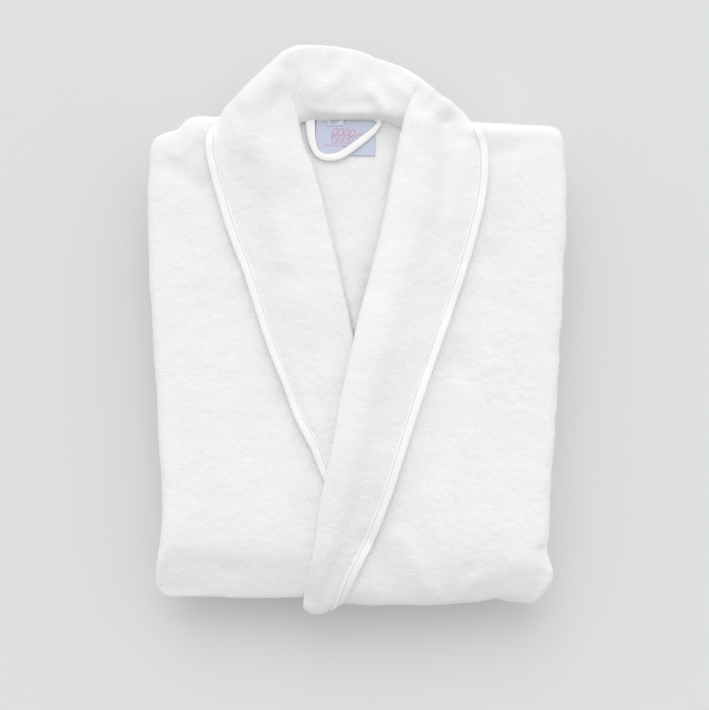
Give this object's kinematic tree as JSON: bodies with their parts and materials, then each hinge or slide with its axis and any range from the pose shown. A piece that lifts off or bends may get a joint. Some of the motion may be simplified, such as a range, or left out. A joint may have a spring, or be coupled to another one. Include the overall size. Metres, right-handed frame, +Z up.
{
  "type": "folded bathrobe",
  "caption": "Terry bathrobe with a shawl collar, satin piping and a hanger loop, folded flat into a pack that opens out at its folds.",
  "frame": {"origin": "middle of the overall box, on the surface the folded robe lies on", "axes": "+X to the viewer's right across the chest, +Y towards the collar, +Z up, out of the front of the robe"},
  "size_m": [0.3516, 0.4838, 0.0874],
  "materials": {
    "terry": "white cotton terry, short cut pile",
    "satin": "white satin-weave tape",
    "label_weave": "pale blue woven label"
  },
  "bodies": {
    "upper": {"back_panel": "terry", "front_left": "terry", "front_right": "terry", "waist_fold_back": "terry", "waist_fold_left": "terry", "waist_fold_right": "terry", "sleeve_left": "terry", "sleeve_right": "terry", "cuff_left": "terry", "cuff_right": "terry", "cuff_piping_left": "satin", "cuff_piping_right": "satin", "collar_back": "terry", "lapel_left": "terry", "lapel_right": "terry", "lapel_tip": "terry", "piping_left": "satin", "piping_right": "satin", "piping_back": "satin", "piping_tip": "satin", "label": "label_weave", "belt_loop_left": "terry", "belt_loop_right": "terry"},
    "hanger": {"hanger_loop": "satin"},
    "tab": {"size_tab": "satin"},
    "belt": {"belt": "terry"},
    "skirt": {"skirt_back": "terry", "skirt_left": "terry", "skirt_right": "terry", "knee_fold_back": "terry", "knee_fold_left": "terry", "knee_fold_right": "terry", "pocket_left": "terry", "pocket_right": "terry", "pocket_piping_left": "satin", "pocket_piping_right": "satin"},
    "hem": {"hem_back": "terry", "hem_left": "terry", "hem_right": "terry", "hem_band_back": "terry", "hem_band_left": "terry", "hem_band_right": "terry"}
  },
  "joints": [
    {"name": "skirt_unfold", "type": "hinge", "parent": "upper", "child": "skirt", "pos_m": [0, -0.2104, 0.0436], "axis": [-1, 0, 0], "range_deg": [0, 180], "deforming": ["waist_fold_back", "waist_fold_left", "waist_fold_right", "lapel_tip", "piping_tip"]},
    {"name": "hem_unfold", "type": "hinge", "parent": "skirt", "child": "hem", "pos_m": [0, 0.148, 0.0191], "axis": [1, 0, 0], "range_deg": [0, 180], "deforming": ["knee_fold_back", "knee_fold_left", "knee_fold_right"]},
    {"name": "loop_lift", "type": "hinge", "parent": "upper", "child": "hanger", "pos_m": [0, 0.1785, 0.0609], "axis": [-1, 0, 0], "range_deg": [0, 120]},
    {"name": "tab_flip", "type": "hinge", "parent": "upper", "child": "tab", "pos_m": [0, 0.18, 0.06065], "axis": [-1, 0, 0], "range_deg": [0, 100]},
    {"name": "belt_slide", "type": "slide", "parent": "upper", "child": "belt", "axis": [1, 0, 0], "range_m": [-0.06, 0.06]}
  ]
}
